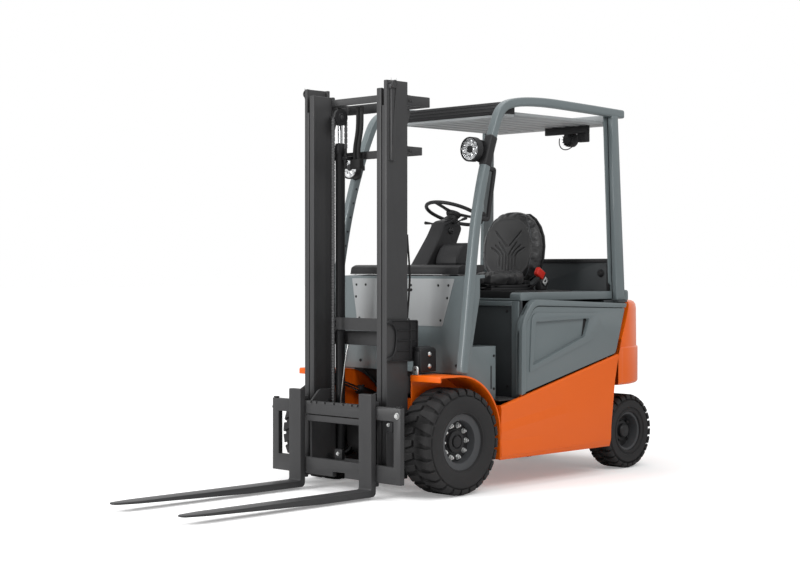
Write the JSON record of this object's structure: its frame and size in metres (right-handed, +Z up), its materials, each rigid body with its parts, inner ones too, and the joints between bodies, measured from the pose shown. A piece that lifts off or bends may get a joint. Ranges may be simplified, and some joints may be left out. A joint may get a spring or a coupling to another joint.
{
  "type": "electric counterbalance forklift truck",
  "caption": "Electric counterbalance forklift with an open cab, a raising and tilting mast, forks on a carriage, rear-wheel steering and side battery doors.",
  "frame": {"origin": "centre of the bounding box on the floor under the truck", "axes": "+Z up; the forks point to -Y; +X is the driver's left"},
  "size_m": [1.186, 3.5922, 2.25],
  "materials": {
    "body_orange": "glossy bright orange enamel",
    "body_grey": "smooth blue-grey paint",
    "panel_dark": "dark grey paint",
    "running_gear": "black painted castings",
    "mast_black": "satin black paint on rolled steel",
    "chain_steel": "oiled leaf chain",
    "bright_rod": "hard chrome",
    "tyre_rubber": "black solid rubber",
    "rim_black": "black paint",
    "floor_tread": "black chequer plate",
    "black_plastic": "grained black plastic",
    "lamp_shell": "black shell",
    "seat_vinyl": "black vinyl"
  },
  "bodies": {
    "truck": {"chassis": "body_orange", "fender_left": "body_orange", "fender_right": "body_orange", "counterweight": "body_orange", "battery": "panel_dark", "drive_axle": "running_gear", "steer_axle": "running_gear", "cowl": "body_grey", "floor_plate": "floor_tread", "steering_column": "black_plastic", "guard_left": "body_grey", "guard_right": "body_grey", "roof_beam": "body_grey", "roof_panel": "body_grey", "rear_deck": "panel_dark", "headlight_left": "lamp_shell", "headlight_right": "lamp_shell", "rear_lamp": "black_plastic", "grab_handle": "black_plastic", "seat_front_panel": "panel_dark"},
    "wheel_front_left": {"tyre_front_left": "tyre_rubber", "rim_front_left": "rim_black"},
    "wheel_front_right": {"tyre_front_right": "tyre_rubber", "rim_front_right": "rim_black"},
    "knuckle_left": {"knuckle_left": "running_gear"},
    "knuckle_right": {"knuckle_right": "running_gear"},
    "wheel_rear_left": {"tyre_rear_left": "tyre_rubber", "rim_rear_left": "rim_black"},
    "wheel_rear_right": {"tyre_rear_right": "tyre_rubber", "rim_rear_right": "rim_black"},
    "steering_wheel": {"steering_wheel": "black_plastic"},
    "outer_mast": {"outer_mast": "mast_black", "lift_cylinder_left": "mast_black", "lift_cylinder_right": "mast_black"},
    "inner_mast": {"inner_mast": "mast_black", "lift_rod_left": "bright_rod", "lift_rod_right": "bright_rod"},
    "carriage": {"carriage": "mast_black", "fork_left": "mast_black", "fork_right": "mast_black", "chain_left": "chain_steel", "chain_right": "chain_steel"},
    "tilt_barrel_left": {"tilt_barrel_left": "running_gear"},
    "tilt_barrel_right": {"tilt_barrel_right": "running_gear"},
    "tilt_rod_left": {"tilt_rod_left": "bright_rod"},
    "tilt_rod_right": {"tilt_rod_right": "bright_rod"},
    "hood": {"battery_hood": "body_grey", "seat_base": "black_plastic", "seat_cushion": "seat_vinyl", "seat_backrest": "seat_vinyl", "armrest": "black_plastic"},
    "door_left": {"door_left": "body_grey"},
    "door_right": {"door_right": "body_grey"}
  },
  "joints": [
    {"name": "wheel_front_left_spin", "type": "hinge", "parent": "truck", "child": "wheel_front_left", "pos_m": [0.4805, -0.12385, 0.292], "axis": [1, 0, 0], "continuous": true},
    {"name": "wheel_front_right_spin", "type": "hinge", "parent": "truck", "child": "wheel_front_right", "pos_m": [-0.4805, -0.12385, 0.292], "axis": [1, 0, 0], "continuous": true},
    {"name": "steer_left", "type": "hinge", "parent": "truck", "child": "knuckle_left", "pos_m": [0.285, 1.48615, 0.229], "axis": [0, 0, 1], "range_deg": [-75, 75]},
    {"name": "wheel_rear_left_spin", "type": "hinge", "parent": "knuckle_left", "child": "wheel_rear_left", "pos_m": [0.3995, 1.48615, 0.229], "axis": [1, 0, 0], "continuous": true},
    {"name": "steer_right", "type": "hinge", "parent": "truck", "child": "knuckle_right", "pos_m": [-0.285, 1.48615, 0.229], "axis": [0, 0, 1], "range_deg": [-75, 75]},
    {"name": "wheel_rear_right_spin", "type": "hinge", "parent": "knuckle_right", "child": "wheel_rear_right", "pos_m": [-0.3995, 1.48615, 0.229], "axis": [1, 0, 0], "continuous": true},
    {"name": "steering_wheel_turn", "type": "hinge", "parent": "truck", "child": "steering_wheel", "pos_m": [0, 0.41615, 1.56], "axis": [0, 0.3746, 0.9272], "continuous": true},
    {"name": "mast_tilt", "type": "hinge", "parent": "truck", "child": "outer_mast", "pos_m": [0, -0.12385, 0.292], "axis": [1, 0, 0], "range_deg": [-7, 5]},
    {"name": "mast_lift", "type": "slide", "parent": "outer_mast", "child": "inner_mast", "axis": [0, 0, 1], "range_m": [0, 1.5]},
    {"name": "carriage_lift", "type": "slide", "parent": "inner_mast", "child": "carriage", "axis": [0, 0, 1], "range_m": [0, 1.5], "deforming": ["chain_left", "chain_right"]},
    {"name": "tilt_pivot_left", "type": "hinge", "parent": "truck", "child": "tilt_barrel_left", "pos_m": [0.31, 0.29615, 0.4], "axis": [1, 0, 0], "range_deg": [-3, 2.2]},
    {"name": "tilt_rod_left_slide", "type": "slide", "parent": "tilt_barrel_left", "child": "tilt_rod_left", "axis": [0, -0.9408, 0.339], "range_m": [-0.031, 0.0225]},
    {"name": "tilt_pivot_right", "type": "hinge", "parent": "truck", "child": "tilt_barrel_right", "pos_m": [-0.31, 0.29615, 0.4], "axis": [1, 0, 0], "range_deg": [-3, 2.2]},
    {"name": "tilt_rod_right_slide", "type": "slide", "parent": "tilt_barrel_right", "child": "tilt_rod_right", "axis": [0, -0.9408, 0.339], "range_m": [-0.031, 0.0225]},
    {"name": "hood_lift", "type": "hinge", "parent": "truck", "child": "hood", "pos_m": [0, 1.25115, 1.098], "axis": [-1, 0, 0], "range_deg": [0, 25]},
    {"name": "door_left_swing", "type": "hinge", "parent": "truck", "child": "door_left", "pos_m": [0.56, 0.38015, 0.5], "axis": [0, 0, -1], "range_deg": [0, 90]},
    {"name": "door_right_swing", "type": "hinge", "parent": "truck", "child": "door_right", "pos_m": [-0.56, 0.38015, 0.5], "axis": [0, 0, 1], "range_deg": [0, 90]}
  ],
  "couplings": [
    {"joint": "steer_right", "follows": "steer_left", "ratio": 1},
    {"joint": "carriage_lift", "follows": "mast_lift", "ratio": 1},
    {"joint": "tilt_pivot_left", "follows": "mast_tilt", "ratio": 0.3923},
    {"joint": "tilt_rod_left_slide", "follows": "mast_tilt", "m_per_rad": 0.244},
    {"joint": "tilt_pivot_right", "follows": "mast_tilt", "ratio": 0.3923},
    {"joint": "tilt_rod_right_slide", "follows": "mast_tilt", "m_per_rad": 0.244}
  ]
}
